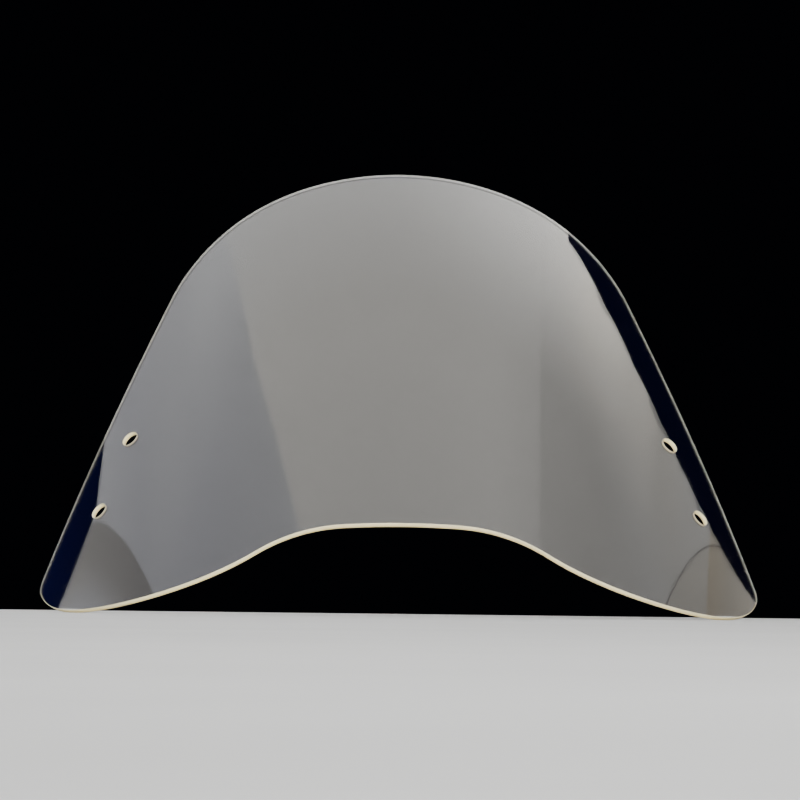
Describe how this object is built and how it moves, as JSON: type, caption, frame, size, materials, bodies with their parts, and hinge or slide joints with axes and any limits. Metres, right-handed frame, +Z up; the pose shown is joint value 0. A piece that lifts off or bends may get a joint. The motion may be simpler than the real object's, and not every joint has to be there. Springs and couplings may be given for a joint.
{
  "type": "windshield screen",
  "caption": "Clear, bent acrylic windshield screen with a rounded top, straight flared sides, an arched lower edge and plain drilled mounting holes near each side.",
  "frame": {"origin": "centre of the base of the bounding box, on the screen's own mid-plane, level with the lowest points of the two lower lobes", "axes": "+Z up, +X across the screen, -Y the way the convex outer face looks; the screen leans back towards +Y with its middle line rising at 42.5 degrees"},
  "size_m": [0.473, 0.2915, 0.3143],
  "materials": {
    "clear_acrylic": "polished, transparent"
  },
  "bodies": {
    "root": {"screen": "clear_acrylic"}
  },
  "joints": []
}
